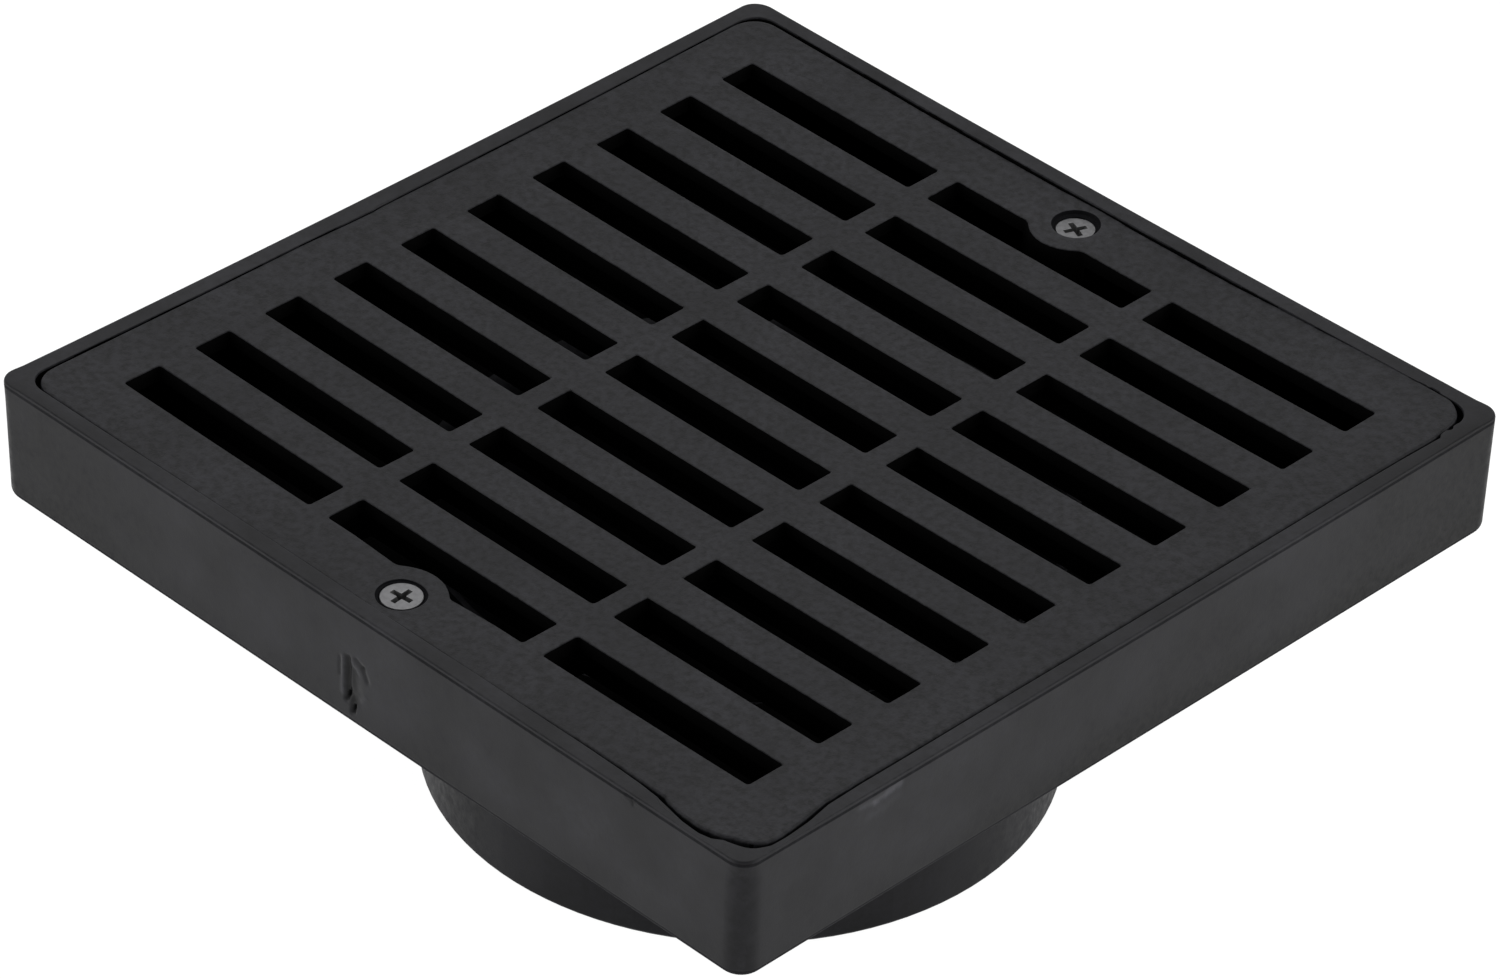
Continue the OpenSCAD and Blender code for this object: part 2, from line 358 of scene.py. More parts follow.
# painted shade: the walls and floor of the pockets around the screw heads
pocket_shade_black = moulded_plastic("pocket_shade_black", (0.008, 0.008, 0.009), 0.1, 0.1, 0.8, 0.02, 0.00002)
print("plastics:", [m.name for m in bpy.data.materials if m.name.endswith("_black")])

# %% [markdown]
# ## Softened mouldings
#
# No edge of a moulding is perfectly sharp, and a rounded edge is what catches a thin line of
# light. The frame's parts could be modelled again from a cube, but their outline is already
# right, so each is copied, its loose triangles are merged, flat faces are dissolved into whole
# ones, and a narrow bevel rounds every edge that turns by more than 35 degrees.


# %% Helpers for editing
def choose(piece):
    """Makes piece the only selected object."""
    bpy.ops.object.select_all(action="DESELECT")
    piece.select_set(True)
    bpy.context.view_layer.objects.active = piece


def open_mesh(piece):
    """Opens piece in edit mode with all of it selected."""
    choose(piece)
    bpy.ops.object.mode_set(mode="EDIT")
    bpy.ops.mesh.select_mode(type="FACE")
    bpy.ops.mesh.select_all(action="SELECT")


def close_mesh():
    """Leaves edit mode."""
    bpy.ops.object.mode_set(mode="OBJECT")


def close_mesh_outwards():
    """Turns every face outwards and leaves edit mode."""
    bpy.ops.mesh.select_all(action="SELECT")
    bpy.ops.mesh.normals_make_consistent(inside=False)
    close_mesh()


def apply_modifier(piece, modifier):
    """Makes the shape that modifier gives piece its own."""
    choose(piece)
    bpy.ops.object.modifier_apply(modifier=modifier.name)


# %% Copy a part and round its edges
edge_round = 0.35 * mm
rounding_steps = 2
sharp_turn = math.radians(35)
same_place = 0.00001
same_plane = math.radians(0.5)


def round_edges(piece, width):
    """Rounds the sharp edges of piece."""
    bevel = piece.modifiers.new("rounded_edges", "BEVEL")
    bevel.width = width
    bevel.segments = rounding_steps
    bevel.limit_method = "ANGLE"
    bevel.angle_limit = sharp_turn
    bevel.use_clamp_overlap = False
    apply_modifier(piece, bevel)


def softened_copy(node_name, piece_name):
    """A copy of a frame part with merged faces and rounded edges."""
    piece = bpy.data.objects.new(piece_name, nodes[node_name].data.copy())
    bpy.context.scene.collection.objects.link(piece)
    piece.data.materials.clear()
    open_mesh(piece)
    bpy.ops.mesh.remove_doubles(threshold=same_place)
    bpy.ops.mesh.dissolve_limited(angle_limit=same_plane)
    close_mesh()
    round_edges(piece, edge_round)
    print(piece_name, "has", len(piece.data.polygons), "faces")
    return piece


housing = softened_copy("housing", "moulded_housing")
grate = softened_copy("grate", "slotted_grate")

# %% [markdown]
# A flat face is now one large polygon, and a polygon can't bend. Before the mouldings are warped
# they are cut across every centimetre or so, with the bisect operator, and much finer in the few
# places that hold small detail. Faces outside the place that is being cut are hidden meanwhile.


# %% Cut a moulding across
def cut_across(piece, axis, places, low=None, high=None):
    """Cuts piece across axis (0, 1 or 2) at each place. Low and high bound the faces to cut."""
    open_mesh(piece)
    if low:
        bpy.ops.mesh.select_all(action="DESELECT")
        mesh = bmesh.from_edit_mesh(piece.data)
        for face in mesh.faces:
            middle = face.calc_center_median()
            face.select = all(a <= v <= b for a, v, b in zip(low, middle, high))
        bmesh.update_edit_mesh(piece.data)
        bpy.ops.mesh.hide(unselected=True)
    normal = [1 if k == axis else 0 for k in range(3)]
    for place in places:
        bpy.ops.mesh.select_all(action="SELECT")
        bpy.ops.mesh.bisect(plane_co=[place * n for n in normal], plane_no=normal)
    bpy.ops.mesh.reveal(select=False)
    close_mesh()


def steps(first, last, step):
    """Evenly spaced places from first to last. All three numbers are in millimetres."""
    count = round((last - first) / step)
    return [(first + (last - first) * k / count) * mm for k in range(count + 1)]


coarse = steps(-110, 110, 11)
for piece in (housing, grate):
    for axis in (0, 1):
        cut_across(piece, axis, coarse)
    print(piece.name, "has", len(piece.data.polygons), "faces after the coarse cuts")

# %% [markdown]
# ## Finer cuts for small detail
#
# Near the corner that points at the camera the joint between the grate and the rim jogs outwards,
# on the far side a thin lip of flash closes it here and there, and on the left it has a small
# kink. These places, and the level just under the top of the rim, get cuts of their own.

# %% Fine cuts beside the joint
joint_z = rim_z - 15 * mm
jogs_front = (0, steps(80, 111, 1), (80 * mm, -half, joint_z), (half, -100 * mm, rim_z))
jogs_right = (1, steps(-111, -72, 1.5), (100 * mm, -half, joint_z), (half, -72 * mm, rim_z))
kink_left = (1, steps(-26, -6, 2), (-half, -27 * mm, joint_z), (-100 * mm, -5 * mm, rim_z))
flash_back = (0, steps(94, 106, 1), (93 * mm, 110 * mm, joint_z), (107 * mm, half, rim_z))
flash_right = (1, steps(99, 109, 0.5), (110 * mm, 98 * mm, joint_z), (half, 110 * mm, rim_z))
for piece in (housing, grate):
    for axis, places, low, high in (jogs_front, jogs_right, kink_left):
        cut_across(piece, axis, places, low, high)
for axis, places, low, high in (flash_back, flash_right):
    cut_across(housing, axis, places, low, high)

# %% Level cuts under the top of the rim
rim_depth = 5 * mm
lip = rim_z - 1.4 * mm
lit_lip = rim_z - 0.62 * mm
rim_zone = rim_z - 16 * mm
rim_cuts = [rim_z - rim_depth, rim_z - 3 * mm, lip, lit_lip]
cut_across(housing, 2, rim_cuts, (-half, -half, rim_zone), (half, half, rim_z))
print("housing has", len(housing.data.polygons), "faces, grate", len(grate.data.polygons))

# %% [markdown]
# ## Where each finish goes
#
# A face gets its material by its place and its normal, and that is simplest now, while every wall
# is still straight. The faces that look up or out are the textured plastic. The walls of the slots
# and the inside of the tray are smooth, and their deep black is painted shade. A band just under
# the rim and the rounding at the foot of the walls are matt and reflect little, which darkens them
# as painted shade.


# %% Paint the faces
def paint(piece, materials, pick):
    """Gives piece its materials, and each face the one whose number pick returns."""
    piece.data.materials.clear()
    for material in materials:
        piece.data.materials.append(material)
    for face in piece.data.polygons:
        face.material_index = pick(face)
    used = [face.material_index for face in piece.data.polygons]
    print(piece.name, {m.name: used.count(number) for number, m in enumerate(materials)})


def looks_out(face):
    """Above 0 where a face looks away from the middle of the object, below 0 where it looks in."""
    return face.normal.x * face.center.x + face.normal.y * face.center.y


# %% The housing's finishes
corner_r = 5.5 * mm
skin = 0.5 * mm
recess_half = grate_high.x + 0.7 * mm
outlet_top = tray_z - 0.1 * mm
foot_round = 2.6 * mm
tray_floor = tray_z + 3 * mm


def depth_in_wall(p):
    """How far a point lies inside the outline of the housing, seen from above."""
    past_x = abs(p.x) - half + corner_r
    past_y = abs(p.y) - half + corner_r
    if past_x > 0 and past_y > 0:
        return corner_r - math.hypot(past_x, past_y)
    return half - max(abs(p.x), abs(p.y))


def housing_finish(face):
    """0 textured, 1 painted shade in the tray, 2 matt edges, darker as painted shade, 3 outside of the
    outlet, darker as painted shade.
    """
    p = face.center
    reach = max(abs(p.x), abs(p.y))
    if p.z < outlet_top:
        return 3 if looks_out(face) > 0 else 0
    # painted shade: the band under the rim and the rounding at the foot are matt and darker
    if depth_in_wall(p) < skin and lip < p.z < lit_lip:
        return 2
    looks_down = face.normal.z < -0.1
    if depth_in_wall(p) < foot_round and p.z < tray_z + foot_round and looks_down:
        return 2
    # the tray's inside, up to lit_lip, gets the deep black painted shade
    inside = tray_floor < p.z < lit_lip and reach < recess_half + skin
    faces_in = looks_out(face) < 0 or reach < recess_half - 1 * mm
    return 1 if inside and faces_in else 0


paint(housing, (housing_black, painted_shade_black, matt_shade_black, outlet_shade_black), housing_finish)

# %% The grate's finishes
pocket_reach = 6.1 * mm
pocket_top = grate_high.z - 0.5 * mm
steep = 0.6
upright = 0.3
inside_skirt = grate_high.x - 2 * mm
screw_spots = {}
for node_name in ("front_screw", "back_screw"):
    low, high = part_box(node_name)
    screw_spots[node_name] = (low + high) / 2


def from_spot(p, spot):
    """How far p is from a spot, seen from above."""
    return math.hypot(p.x - spot.x, p.y - spot.y)


def grate_finish(face):
    """0 textured, 1 deep black painted shade in the slots and on the underside, 2 painted shade around the
    screws.
    """
    p = face.center
    in_pocket = any(from_spot(p, spot) < pocket_reach for spot in screw_spots.values())
    if in_pocket and (face.normal.z < steep or p.z < pocket_top):
        return 2
    return 1 if face.normal.z < upright and max(abs(p.x), abs(p.y)) < inside_skirt else 0


paint(grate, (grate_black, painted_shade_black, pocket_shade_black), grate_finish)

# %% [markdown]
# ## The joint line
#
# On the real mouldings the joint between the grate and the rim isn't straight, and neither edge
# follows the other. For each side there are two short lists, one for the rim's inner edge and one
# for the edge of the grate. Each pair is a place along the side and how far the edge lies outwards
# there, both in millimetres, as they can be read off the photograph with a ruler.

# %% How far the rim's inner edge lies outwards
rim_moves = {
    "front": (
        (-104, 0.2), (-80, 0.15), (-60, -0.1), (-40, -0.15), (0, 0), (20, 0.05), (30, -0.15), (50, 0),
        (72, 0), (83, 0.45), (89, 1.0), (91, 2.2), (97, 2.8), (103, 3.1), (106, 2.4), (108, 0.95), (113, 0.8),
    ),
    "right": (
        (-113, 0.8), (-110.5, 2.3), (-108, 2.9), (-104, 3.0), (-97, 2.45), (-90, 1.1), (-80, 0.75),
        (-70, 0.72), (-40, 0.48), (0, 0.43), (70, 0.28), (90, 0.53), (100.5, 0.9), (101.5, 0.1),
        (103.5, -0.1), (104.5, 0.5), (105.3, 0.5), (106, -0.1), (107, -0.1), (108, 0), (109, 0),
    ),
    "back": (
        (-104, 0.4), (-70, 0.35), (-58, 0.1), (-45, 0), (50, 0), (60, 0.05), (80, 0.3), (96.5, 0.35),
        (97.5, 0.75), (99, 0.4), (100, 0.8), (102, 0.8), (103, 0.4), (106, 0.3), (109, 0),
    ),
    "left": (
        (-104, 0.15), (-80, 0), (-60, -0.2), (-26, -0.2), (-19, -0.5), (-11, -0.55), (-8.5, -0.3),
        (30, -0.42), (50, -0.38), (70, -0.25), (90, -0.05), (104, 0),
    ),
}
print("rim:", {side: len(points) for side, points in rim_moves.items()}, "places")

# %% How far the edge of the grate lies outwards
grate_moves = {
    "front": (
        (-104, 0.3), (-80, 0.36), (-60, 0.13), (-5, 0.05), (20, 0.2), (40, 0.25), (55, 0.15), (72, 0),
        (83, 0.4), (89, 0.5), (91, 1.4), (96, 2.2), (101, 2.45), (106, 1.3), (108, 0.35), (113, 0.6),
    ),
    "right": (
        (-113, 0.8), (-110.5, 2.05), (-108, 2.6), (-104, 2.55), (-97, 1.8), (-90, 0.6), (-80, 0.5),
        (-70, 0.58), (-40, 0.62), (40, 0.68), (70, 0.71), (90, 0.95), (100, 1.2), (106, 0.4), (112, 0),
    ),
    "back": (
        (-104, 0.5), (-70, 0.48), (-58, 0.25), (-45, 0.2), (30, 0.12), (45, 0.15), (52, 0.6), (70, 0.95),
        (80, 1.15), (96, 1.25), (98.5, 0.98), (103, 0.95), (106, 0.75), (109, 0.2), (112, 0),
    ),
    "left": (
        (-104, 0.45), (-80, 0.35), (-60, 0.18), (-30, 0.18), (-26, 0.05), (-19, -0.3), (-11, -0.45),
        (-8.5, -0.2), (30, -0.27), (50, -0.22), (70, -0.1), (90, 0.08), (104, 0.1),
    ),
}
print("grate:", {side: len(points) for side, points in grate_moves.items()}, "places")

# %% Read the lists and move a point
# each side: the axis that points out of it, and in which direction along that axis
sides = {"front": (1, -1), "right": (0, 1), "back": (1, 1), "left": (0, -1)}


def between(points, value):
    """Height at value, both in metres, of the line through points, which are in millimetres."""
    value /= mm
    if value <= points[0][0]:
        return points[0][1] * mm
    for (a, low), (b, high) in zip(points, points[1:]):
        if value <= b:
            return (low + (high - low) * (value - a) / (b - a)) * mm
    return points[-1][1] * mm


def ramp(value, low, high):
    """0 below low, 1 above high, and a smooth climb between them."""
    t = min(1, max(0, (value - low) / (high - low)))
    return t * t * (3 - 2 * t)


def move_outwards(p, moves, weight):
    """Moves p outwards from each side by its moves there, times its weight beside that side."""
    start = p.copy()
    for side, (across, sign) in sides.items():
        share = weight(sign * start[across])
        p[across] += sign * share * between(moves[side], start[1 - across])


# %% Move the rim and the edge of the grate
rim_wall = half - recess_half
rim_lead = (recess_half - 4.5 * mm, recess_half - 1.5 * mm)
grate_lead = (grate_high.x - 8 * mm, grate_high.x - 1 * mm)
grate_rise = (grate_high.z - 6 * mm, grate_high.z - 1.5 * mm)


def move_rim(p):
    """Moves a point near the rim's inner edge. The outer edge stays where it is."""
    near_top = ramp(p.z, rim_z - rim_depth, lip)
    move_outwards(p, rim_moves, lambda reach: (
        near_top * ramp(reach, *rim_lead) * min(1, max(0, half - reach) / rim_wall)
    ))


def move_grate_edge(p):
    """Moves a point near the outer edge of the grate's face."""
    near_top = ramp(p.z, *grate_rise)
    move_outwards(p, grate_moves, lambda reach: near_top * ramp(reach, *grate_lead))


# %% [markdown]
# ## Sag and bow
#
# A plastic lid this wide is never flat. The grate hangs 2 mm lower in its middle than at its
# corners, three of the housing's walls lean inwards between the corners, and all four dip there.
# Two of its corners are squarer than the others. The grate also lies a third of a millimetre
# askew, and both screw bosses are pulled a little to one side. The front one is also shorter and
# has a shallower seat. A lattice could do this, but plain formulas show exactly how much each
# point moves. At the end, points that a squarer corner pushed out are held at the housing's sides.

# %% Let the housing settle
wall_h = rim_z - tray_z
rim_sag = 0.56 * mm
bow = {"front": 0.4 * mm, "right": 0, "back": 0.3 * mm, "left": 0.5 * mm}
wall_lead = (95 * mm, 108 * mm)
square_corner = 0.6 * mm
corner_lead = (2 * half - 9 * mm, 2 * half - 3.2 * mm)


def settle_housing(p):
    """Lowers the walls between the corners and leans them inwards, from the tray's floor up."""
    share = min(1, max(0, (p.z - tray_z) / wall_h))
    start = p.copy()
    for side, (across, sign) in sides.items():
        along = start[1 - across] / half
        near_wall = ramp(sign * start[across], *wall_lead)
        p[across] -= sign * share * bow[side] * (1 - along * along) * near_wall
    if start.x * start.y > 0:
        tip = share * square_corner * ramp(abs(start.x) + abs(start.y), *corner_lead)
        p.x += math.copysign(tip * math.sqrt(0.5), start.x)
        p.y += math.copysign(tip * math.sqrt(0.5), start.y)
    p.z -= share * rim_sag * (2 - (start.x / half) ** 2 - (start.y / half) ** 2)


# %% Let the grate settle
grate_sag = 1.94 * mm
grate_sag_x = 1.36 * mm
grate_sag_y = 0.85 * mm
askew = 0.003
boss_pull = {"front_screw": Vector((0.6, -0.2, -0.3)) * mm, "back_screw": Vector((0.2, 0.4, 0)) * mm}
boss_lead = (8 * mm, 14 * mm)
shallower_seat = 0.45 * mm
seat_reach = pocket_reach - 0.45 * mm
seat_top = grate_high.z - 0.6 * mm
seat_lead = (grate_high.z - 9 * mm, grate_high.z - 5 * mm)
shorter_boss = 0.9 * mm
boss_half_w = 15 * mm
boss_l = 12 * mm
shorter_lead = (3 * mm, 10 * mm)


def settle_grate(p):
    """Lowers the grate's face, most in its middle, turns its edges and moves the bosses a little."""
    share = (p.z - grate_low.z) / (grate_high.z - grate_low.z)
    front_spot = screw_spots["front_screw"]
    if from_spot(p, front_spot) < seat_reach and p.z < seat_top:
        p.z += shallower_seat * ramp(p.z, *seat_lead)
    past_spot = p.y - front_spot.y
    if past_spot < boss_l and abs(p.x) < boss_half_w:
        p.y -= shorter_boss * ramp(past_spot, *shorter_lead) * share
    for node_name, spot in screw_spots.items():
        p += boss_pull[node_name] * (1 - ramp(from_spot(p, spot), *boss_lead)) * share
    x, y = p.x / half, p.y / half
    p.x, p.y = p.x - askew * p.y * x * x, p.y + askew * p.x * y * y
    p.z -= share * (grate_sag - grate_sag_x * x * x - grate_sag_y * y * y)


# %% [markdown]
# ## Scars
#
# The molten plastic was fed in through a gate in the middle of one wall, and the stub was torn
# off. It left an upright ridge, a leaf-shaped scoop and two deep pits. The edge of the next wall
# was scuffed, and near the corner between the two the first wall's edge has a small nick. A
# picture of these would look painted on, so each patch of wall is cut into a fine grid and
# pressed in along short strokes. Each stroke is a groove or a ridge with a soft cross-section,
# like a fingernail in clay, and it also makes its place paler where the plastic is torn or
# scuffed, and darker in the grooves and pits, which is painted shade.

# %% The strokes
# each stroke: start, end, half width and height in millimetres, and how much paler (torn or scuffed plastic)
# or darker (painted shade in grooves and pits).
# Start and end are a place along the wall and a level. At the gate level 0 is the wall's foot,
# and at the other two it is the top of the rim.
gate_strokes = (
    ((-3.7, 8.2), (-3.7, 17.3), 0.55, 0.2, 1.1),
    ((-4.7, 12.5), (-4.7, 17.0), 0.4, -0.2, -0.3),
    ((-2.3, 9.0), (-2.1, 18.0), 0.7, -0.6, -0.8),
    ((-2.6, 6.6), (-2.2, 8.2), 0.5, -1.2, -1.0),
    ((-0.6, 4.2), (-0.3, 5.6), 0.5, -1.4, -1.0),
    ((-1.0, 17.3), (1.2, 15.5), 0.55, 0.1, 0.9),
    ((0.4, 18.8), (2.6, 17.5), 0.6, -0.3, -0.4),
    ((2.6, 17.5), (4.0, 14.8), 0.6, -0.3, -0.4),
    ((-0.4, 15.0), (0.2, 8.0), 1.7, -0.4, -0.7),
    ((-1.6, 9.5), (-0.4, 6.5), 1.0, -0.3, -0.35),
    ((2.2, 8.8), (3.4, 10.2), 0.6, 0.1, 0.35),
)
scuff_strokes = (
    ((-84, -2.5), (-79.8, -3.0), 0.7, -0.05, 1.0),
    ((-79.3, -3.3), (-76.6, -2.9), 0.85, -0.1, 1.8),
    ((-75.4, -2.5), (-72.4, -2.2), 0.9, -0.1, 2.3),
    ((-81, -6.3), (-73, -5.2), 1.4, 0, 0.35),
)
nick_strokes = (
    ((83.2, -0.9), (85.8, -1.1), 0.45, -0.45, -0.9),
    ((84.6, -1.2), (85.2, -2.2), 0.4, -0.2, -0.5),
)
print("strokes:", len(gate_strokes), "at the gate,", len(scuff_strokes + nick_strokes), "at the rim")


# %% Press along strokes
def press(x, z, strokes):
    """Height and paleness that the strokes give the wall at x, z, where a negative paleness is painted shade.
    All lengths in millimetres.
    """
    height = 0
    paler = 0
    for start, end, width, rise, tone in strokes:
        start = Vector(start)
        along = Vector(end) - start
        offset = Vector((x, z)) - start
        t = min(1, max(0, offset.dot(along) / along.length_squared))
        strength = math.exp(-(((offset - t * along).length / width) ** 2))
        height += rise * strength
        paler += tone * strength
    return height, paler


# %% A fine grid on each patch
gate_grid = (-7.6, 7.6, 0.4)
gate_levels = (2.9, 21, 0.45)
scuff_grid = (-86, -68, 0.5)
scuff_levels = (-8, -1.2, 0.4)
nick_grid = (81, 88, 0.4)
nick_levels = (-3.8, -0.6, 0.4)
grid_margin = 12 * mm


def grid_on_wall(across, wall_place, columns, levels, level_zero):
    """Cuts the patch of the housing's wall between the columns and levels into a fine grid."""
    along = 1 - across
    low = [0, 0, level_zero + levels[0] * mm]
    high = [0, 0, level_zero + levels[1] * mm]
    low[along], high[along] = columns[0] * mm, columns[1] * mm
    low[across], high[across] = wall_place - skin, wall_place + skin
    wide_low = [v - grid_margin * (k != across) for k, v in enumerate(low)]
    wide_high = [v + grid_margin * (k != across) for k, v in enumerate(high)]
    cut_across(housing, along, [low[along], high[along]], wide_low, wide_high)
    cut_across(housing, 2, [low[2], high[2]], wide_low, wide_high)
    cut_across(housing, along, steps(*columns), low, high)
    cut_across(housing, 2, [level_zero + rise for rise in steps(*levels)], low, high)


# each patch: axis across its wall, place on that axis, grid, levels, level 0 and strokes
patches = (
    (1, -half, gate_grid, gate_levels, tray_z, gate_strokes),
    (0, half, scuff_grid, scuff_levels, rim_z, scuff_strokes),
    (1, -half, nick_grid, nick_levels, rim_z, nick_strokes),
)
for across, wall_place, columns, levels, level_zero, strokes in patches:
    grid_on_wall(across, wall_place, columns, levels, level_zero)
print("housing has", len(housing.data.polygons), "faces with the grids")

# %% [markdown]
# The two walls that face the camera are painted darker at their foot and towards their far ends than
# beside the corner between them, and the right one is painted darker over its whole lower part. This
# is painted shade, and the same number that marks wear darkens it. It needs one more cut, a
# third of the way up, to fade out softly.

# %% How much painted shade darkens a wall
shade_at_foot = 0.55
foot_part = 0.33
shade_at_end = 0.4
end_lead = (0.7, 1)
shade_on_right = 0.45
right_lead = (0.15, 0.45)
# the most painted shade a wall gets
dullest = 0.9


def painted_wall_shade(along, height, lower_part):
    """How much painted shade darkens a wall at a place along it and a height above its foot, both from 0 to
    1.
    """
    foot_share = max(0, 1 - height / foot_part)
    end_share = ramp(along, *end_lead)
    lower_share = ramp(along, *right_lead) * max(0, 1 - height)
    return -min(dullest, shade_at_foot * foot_share + shade_at_end * end_share + lower_part * lower_share)


foot_cut = tray_z + foot_part * wall_h
cut_across(housing, 2, [foot_cut], (-half, -half, tray_z + 1 * mm), (half, half, rim_z))
print("the walls are dullest below", round((foot_cut - tray_z) / mm, 1), "mm")

# %% Press the strokes in, then move every point of both mouldings
wall_face = half - 1 * mm
darkest_wear_and_shade = 0.95
# this number holds real wear, paler torn and scuffed plastic, and painted shade, darker pits, grooves and
# walls
wear_and_shade = housing.data.attributes.new("wear_and_shade", "FLOAT", "POINT")
for vertex in housing.data.vertices:
    p = vertex.co
    height_share = (p.z - tray_z) / wall_h
    # painted shade on the two walls that face the camera
    if p.y < -wall_face and p.z > tray_z:
        wear_and_shade.data[vertex.index].value = painted_wall_shade((half - p.x) / (2 * half), height_share, 0)
    elif p.x > wall_face and p.z > tray_z:
        wear_and_shade.data[vertex.index].value = painted_wall_shade((half + p.y) / (2 * half), height_share, shade_on_right)
    for across, wall_place, columns, levels, level_zero, strokes in patches:
        along = p[1 - across] / mm
        level = (p.z - level_zero) / mm
        on_wall = abs(p[across] - wall_place) < skin
        if on_wall and columns[0] < along < columns[1] and levels[0] < level < levels[1]:
            height, paler = press(along, level, strokes)
            worn_and_shaded = wear_and_shade.data[vertex.index].value + paler
            wear_and_shade.data[vertex.index].value = max(-darkest_wear_and_shade, worn_and_shaded)
            p[across] += height * mm * math.copysign(1, wall_place)
    move_rim(p)
    settle_housing(p)
    p.x = min(half, max(-half, p.x))
    p.y = min(half, max(-half, p.y))
for vertex in grate.data.vertices:
    move_grate_edge(vertex.co)
    settle_grate(vertex.co)
middle = Vector((0, 0, grate_high.z))
settle_grate(middle)
print("the grate's middle lies", round((grate_high.z - middle.z) / mm, 2), "mm low")


# %% Smooth shading
moulding_angle = 30


def shade(piece, angle):
    """Smooths edges that turn by less than angle, in degrees, and keeps large faces flat."""
    choose(piece)
    bpy.ops.object.shade_smooth_by_angle(angle=math.radians(angle))
    weighted = piece.modifiers.new("flat_faces_stay_flat", "WEIGHTED_NORMAL")
    weighted.keep_sharp = True
    apply_modifier(piece, weighted)


def open_edges(piece):
    """Number of edges of piece that don't join exactly two faces."""
    mesh = bmesh.new()
    mesh.from_mesh(piece.data)
    count = sum(not edge.is_manifold for edge in mesh.edges)
    mesh.free()
    return count


for piece in (housing, grate):
    shade(piece, moulding_angle)
    print(piece.name, len(piece.data.polygons), "faces,", open_edges(piece), "open edges")

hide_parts("housing")
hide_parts("grate")
for piece in (housing, grate):
    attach(piece, "root")

# %% [markdown]
# ## Screws
#
# Two flat-headed screws hold the grate: a thin upright edge, an 82 degree cone under it, a core
# that fills with thread, and a point. The body could be spun from a half outline, but building it
# from a filled circle, ring by ring, shows how each radius follows from the one above. Its sizes
# are read from the frame's plain screw, so that it fits the same hole.

# %% The body, from a circle downwards
screw_low, screw_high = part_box("front_screw")
head_r = screw_high.x
tip_room = 0.9 * mm
screw_l = screw_high.z - screw_low.z - tip_room
head_edge = 0.35 * mm
head_soft = 0.12 * mm
core_r = 1.75 * mm
tip_l = 3 * mm
tip_share = 0.12
cone_angle = 82
cone_l = (head_r - core_r) / math.tan(math.radians(cone_angle / 2))
screw_sides = 64


def extrude_down(depth, level, scale):
    """Extrudes the selected face down to level, and scales it there."""
    bpy.ops.mesh.extrude_region_move(TRANSFORM_OT_translate={"value": (0, 0, -depth)})
    bpy.ops.transform.resize(value=(scale, scale, 1), center_override=(0, 0, level))
    return level


bpy.ops.object.select_all(action="DESELECT")
bpy.ops.mesh.primitive_circle_add(vertices=screw_sides, radius=head_r - head_soft, fill_type="NGON")
screw = bpy.context.object
screw.name = "screw_front"
open_mesh(screw)
level = extrude_down(head_soft, -head_soft, head_r / (head_r - head_soft))
level = extrude_down(head_edge - head_soft, -head_edge, 1)
level = extrude_down(cone_l, -head_edge - cone_l, core_r / head_r)
level = extrude_down(screw_l - tip_l + level, tip_l - screw_l, 1)
level = extrude_down(tip_l, -screw_l, tip_share)
close_mesh_outwards()
print("screw length in mm:", round(-level / mm, 2), "open edges:", open_edges(screw))

# %% [markdown]
# The cross recess is cut with a tapered cross. The cross starts as a small cube, each of its four
# sides is extruded outwards, and its lower end is scaled down, because a driver's point narrows.

# %% The cross recess
recess_l = 6.2 * mm
recess_w = 1.45 * mm
recess_depth = 1.9 * mm
recess_end = 0.5
above = 0.3 * mm
same_way = 0.9
screw_round = 0.1 * mm

bpy.ops.object.select_all(action="DESELECT")
bpy.ops.mesh.primitive_cube_add(size=1, location=(0, 0, (above - recess_depth) / 2))
cutter = bpy.context.object
cutter.scale = (recess_w, recess_w, recess_depth + above)
bpy.ops.object.transform_apply(location=True, rotation=False, scale=True)
open_mesh(cutter)
for outwards in (Vector((1, 0, 0)), Vector((-1, 0, 0)), Vector((0, 1, 0)), Vector((0, -1, 0))):
    mesh = bmesh.from_edit_mesh(cutter.data)
    for face in mesh.faces:
        face.select = face.normal.dot(outwards) > same_way and face.calc_center_median().length < recess_w
    bmesh.update_edit_mesh(cutter.data)
    arm = (recess_l - recess_w) / 2 * outwards
    bpy.ops.mesh.extrude_region_move(TRANSFORM_OT_translate={"value": arm})
mesh = bmesh.from_edit_mesh(cutter.data)
for vertex in mesh.verts:
    vertex.select = vertex.co.z < 0
mesh.select_flush(True)
bmesh.update_edit_mesh(cutter.data)
bpy.ops.mesh.select_mode(type="VERT")
bpy.ops.transform.resize(value=(recess_end, recess_end, 1), center_override=(0, 0, -recess_depth))
close_mesh_outwards()

cut = screw.modifiers.new("cross_recess", "BOOLEAN")
cut.operation = "DIFFERENCE"
cut.solver = "EXACT"
cut.object = cutter
apply_modifier(screw, cut)
bpy.data.objects.remove(cutter)
round_edges(screw, screw_round)
print("screw head:", len(screw.data.polygons), "faces,", open_edges(screw), "open edges")

# %% [markdown]
# The thread is a triangle wound around the core by the Screw modifier. Its two ends are closed,
# and it fades towards the head and the point. It is coarse and sharp, as threads for plastic are.

# %% The thread
thread_pitch = 2.1 * mm
thread_r = 2.35 * mm
thread_root = 1.2 * mm
sunk = 0.25 * mm
steps_per_turn = 24
thread_top = head_edge + cone_l + 0.8 * mm
turns = int((screw_l - thread_top) / thread_pitch)

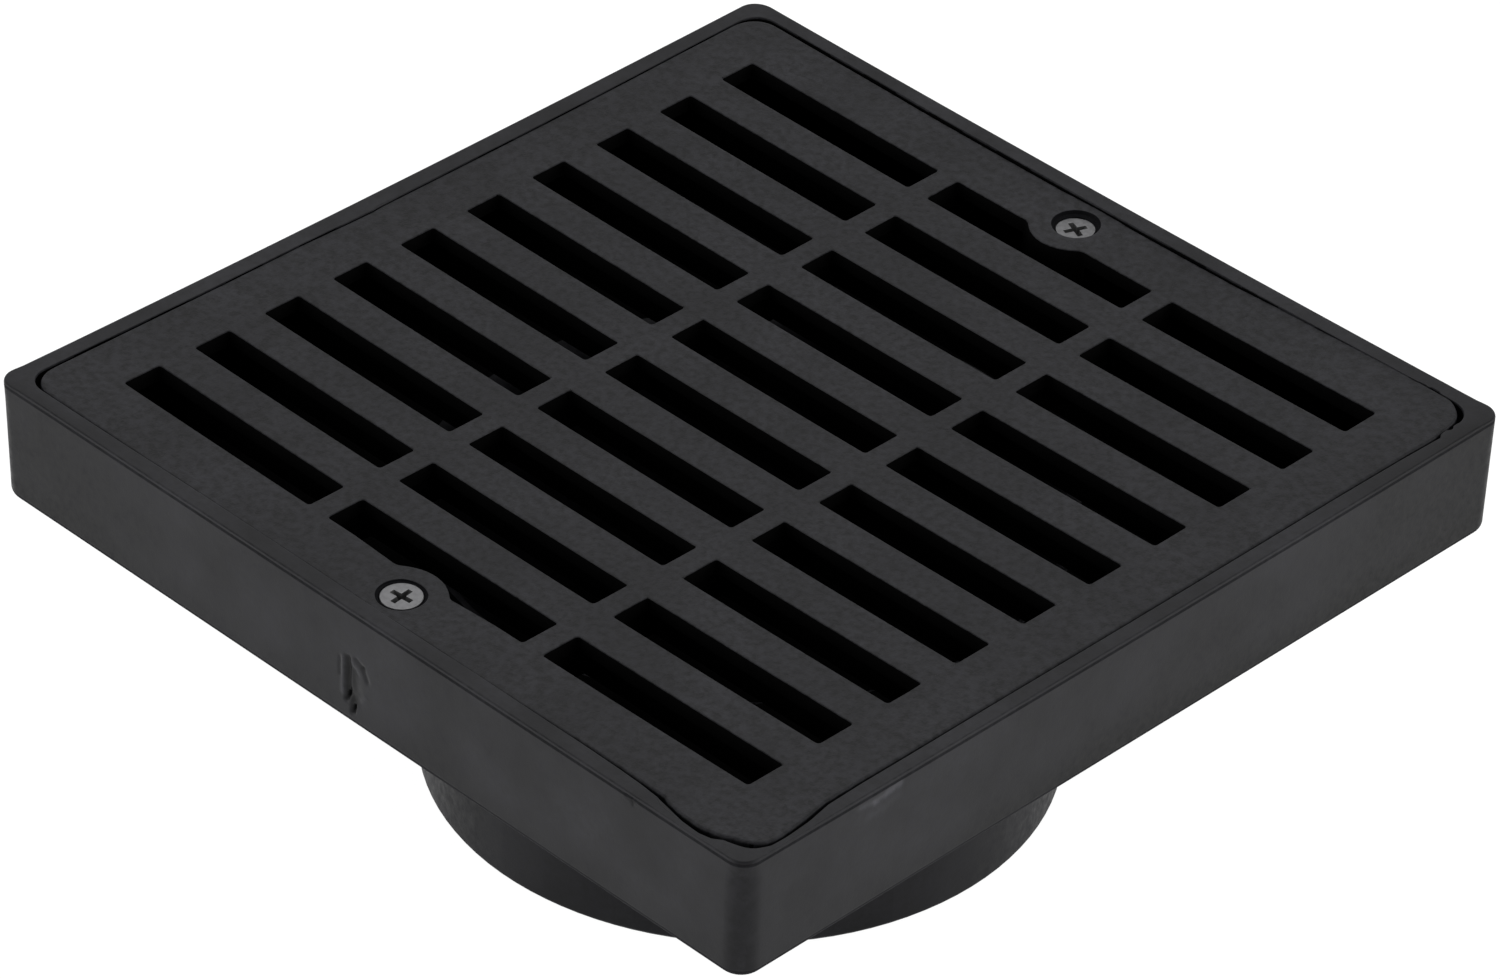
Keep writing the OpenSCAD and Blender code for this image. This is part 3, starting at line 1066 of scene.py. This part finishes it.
bpy.ops.object.select_all(action="DESELECT")
bpy.ops.mesh.primitive_circle_add(vertices=3, radius=1, fill_type="NOTHING")
thread = bpy.context.object
open_mesh(thread)
bpy.ops.mesh.select_mode(type="VERT")
bpy.ops.mesh.select_all(action="SELECT")
corners = bmesh.from_edit_mesh(thread.data).verts
corners.ensure_lookup_table()
corners[0].co = (thread_r, 0, -thread_top)
corners[1].co = (core_r - sunk, 0, -thread_top + thread_root / 2)
corners[2].co = (core_r - sunk, 0, -thread_top - thread_root / 2)
bmesh.update_edit_mesh(thread.data)
close_mesh()
winding = thread.modifiers.new("winding", "SCREW")
winding.axis = "Z"
winding.steps = steps_per_turn
winding.render_steps = steps_per_turn
winding.iterations = turns
winding.screw_offset = -thread_pitch
apply_modifier(thread, winding)
open_mesh(thread)
bpy.ops.mesh.select_mode(type="VERT")
bpy.ops.mesh.select_all(action="SELECT")
bpy.ops.mesh.fill_holes(sides=3)
close_mesh_outwards()

# %% Fade the thread out and join it to the screw
first_height = 0.1
thinnest = 0.1 * mm
for vertex in thread.data.vertices:
    p = vertex.co
    reach = math.hypot(p.x, p.y)
    fade_in = ramp(-p.z, thread_top, thread_top + thread_pitch)
    crest = core_r - sunk + (reach - core_r + sunk) * (first_height + (1 - first_height) * fade_in)
    narrowed = crest - max(0, -p.z - screw_l + tip_l) * core_r / tip_l
    p.x *= max(thinnest, narrowed) / reach
    p.y *= max(thinnest, narrowed) / reach
print("thread:", turns, "turns,", open_edges(thread), "open edges")

choose(screw)
thread.select_set(True)
bpy.ops.object.join()

# %% [markdown]
# The steel is zinc plated and dull, so it is a metal with a medium roughness that varies in
# patches. In the cross the screw is painted dark grey.

# %% Dull steel, and dark grey for the cross
steel_colour = (0.19, 0.19, 0.195)
dull_steel, steel_shader = new_material("dull_steel")
steel_shader.inputs["Metallic"].default_value = 1
tree = dull_steel.node_tree
place = tree.nodes.new("ShaderNodeTexCoord").outputs["Object"]
steel_clouds = noise(tree, place, scale=900, detail=3, roughness=0.6)
steel_tone = spread(tree, steel_clouds, usual_noise, 0.85, 1.15)
tinted = add_node(tree, "ShaderNodeVectorMath", {0: steel_colour}, operation="SCALE")
tree.links.new(steel_tone, tinted.inputs["Scale"])
tree.links.new(tinted.outputs[0], steel_shader.inputs["Base Color"])
tree.links.new(spread(tree, steel_clouds, usual_noise, 0.42, 0.58), steel_shader.inputs["Roughness"])
recess_dark = moulded_plastic("recess_dark_grey", (0.06, 0.06, 0.06), 0.3, 0.1, 0.8, 0.1, 0.00005)

# %% The screw's finishes
recess_dark_top = -0.15 * mm
recess_dark_bottom = -recess_depth - 0.1 * mm
screw_angle = 35


def screw_finish(face):
    """0 steel, 1 dark grey in the recess."""
    at_depth = recess_dark_bottom < face.center.z < recess_dark_top
    return 1 if at_depth and math.hypot(face.center.x, face.center.y) < recess_l / 2 else 0


paint(screw, (dull_steel, recess_dark), screw_finish)
shade(screw, screw_angle)

# %% Seat both screws in the sunken grate
turned = {"front_screw": 5, "back_screw": -23}
driven_deeper = {"front_screw": -0.1 * mm, "back_screw": 0.45 * mm}
screws = {"front_screw": screw, "back_screw": bpy.data.objects.new("screw_back", screw.data.copy())}
bpy.context.scene.collection.objects.link(screws["back_screw"])
for node_name, piece in screws.items():
    low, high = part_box(node_name)
    seat = Vector(((low.x + high.x) / 2, (low.y + high.y) / 2, high.z))
    settle_grate(seat)
    seat.z -= driven_deeper[node_name]
    turn = Matrix.Rotation(math.radians(turned[node_name]), 4, "Z")
    piece.data.transform(Matrix.Translation(seat) @ turn)
    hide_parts(node_name)
    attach(piece, "root")
    print(piece.name, "top at", round(seat.z / mm, 2), "mm,", len(piece.data.polygons), "faces")

# %% [markdown]
# ## Sizes and the end
#
# The box of what is visible now is printed. The looks may not make the object larger, and they
# don't: walls lean inwards, the rim and the grate sag, and no point was left outside the
# housing's sides.

# %% Print the visual box
low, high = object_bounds()
print("visual box:", [round(v, 4) for v in low], [round(v, 4) for v in high])
